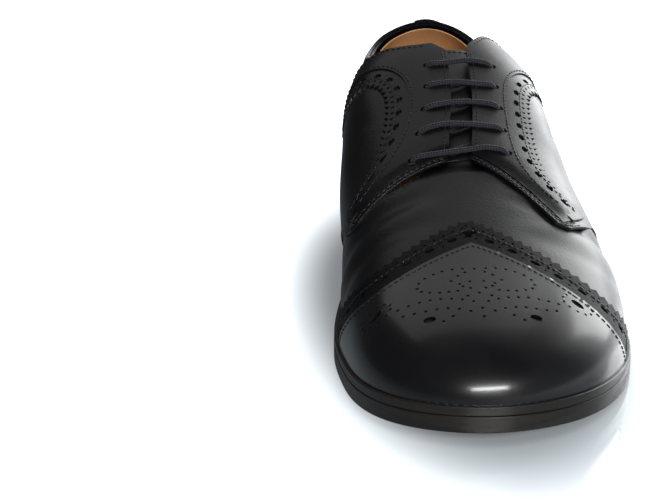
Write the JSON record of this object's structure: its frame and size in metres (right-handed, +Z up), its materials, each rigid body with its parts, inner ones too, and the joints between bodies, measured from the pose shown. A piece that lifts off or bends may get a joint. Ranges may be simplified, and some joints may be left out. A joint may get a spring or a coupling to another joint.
{
  "type": "leather derby shoe",
  "caption": "Black leather lace-up shoe with a pointed perforated toe cap, gimped brogue facings, tan lining, welted leather sole and a stacked heel.",
  "frame": {"origin": "middle of the footprint, on the ground", "axes": "+Y from the toe to the heel, +Z up, +X to the outer (lateral) side of this left shoe"},
  "size_m": [0.1098, 0.3062, 0.101],
  "materials": {
    "black_calf": "polished",
    "tan_lining": "matt",
    "sole_edge": "burnished",
    "insole_leather": "matt",
    "heel_stack": "burnished",
    "top_piece_rubber": "matt",
    "cork": "matt",
    "shank_steel": "satin",
    "nail_brass": "satin",
    "stiffener_board": "matt",
    "lace_cotton": "waxed",
    "eyelet_metal": "satin",
    "aglet_plastic": "gloss"
  },
  "bodies": {
    "shoe": {"toe_cap": "black_calf", "vamp": "black_calf", "side_panel_lateral": "black_calf", "side_panel_medial": "black_calf", "facing_lateral": "black_calf", "facing_medial": "black_calf", "heel_counter": "black_calf", "vamp_lining": "tan_lining", "quarter_lining_lateral": "tan_lining", "quarter_lining_medial": "tan_lining", "sock_liner": "tan_lining", "outsole": "sole_edge", "welt": "sole_edge", "heel_rand": "sole_edge", "insole": "insole_leather", "heel_lift_1": "heel_stack", "heel_lift_2": "heel_stack", "heel_lift_3": "heel_stack", "heel_top_piece": "top_piece_rubber", "heel_nail_1": "nail_brass", "heel_nail_2": "nail_brass", "heel_nail_3": "nail_brass", "heel_nail_4": "nail_brass", "heel_nail_5": "nail_brass", "cork_filler": "cork", "shank": "shank_steel", "toe_puff": "stiffener_board", "heel_stiffener": "stiffener_board", "eyelet_lateral_1": "eyelet_metal", "eyelet_lateral_2": "eyelet_metal", "eyelet_lateral_3": "eyelet_metal", "eyelet_lateral_4": "eyelet_metal", "eyelet_lateral_5": "eyelet_metal", "eyelet_medial_1": "eyelet_metal", "eyelet_medial_2": "eyelet_metal", "eyelet_medial_3": "eyelet_metal", "eyelet_medial_4": "eyelet_metal", "eyelet_medial_5": "eyelet_metal", "lace": "lace_cotton", "aglet_1": "aglet_plastic", "aglet_2": "aglet_plastic"},
    "tongue": {"tongue": "black_calf", "tongue_lining": "tan_lining"}
  },
  "joints": [
    {"name": "tongue_root", "type": "hinge", "parent": "shoe", "child": "tongue", "pos_m": [-0.0015, -0.0208, 0.0614], "axis": [1, 0, 0], "range_deg": [-12, 0], "stiffness_Nm_per_rad": 0.2, "springref_deg": 3.44}
  ]
}
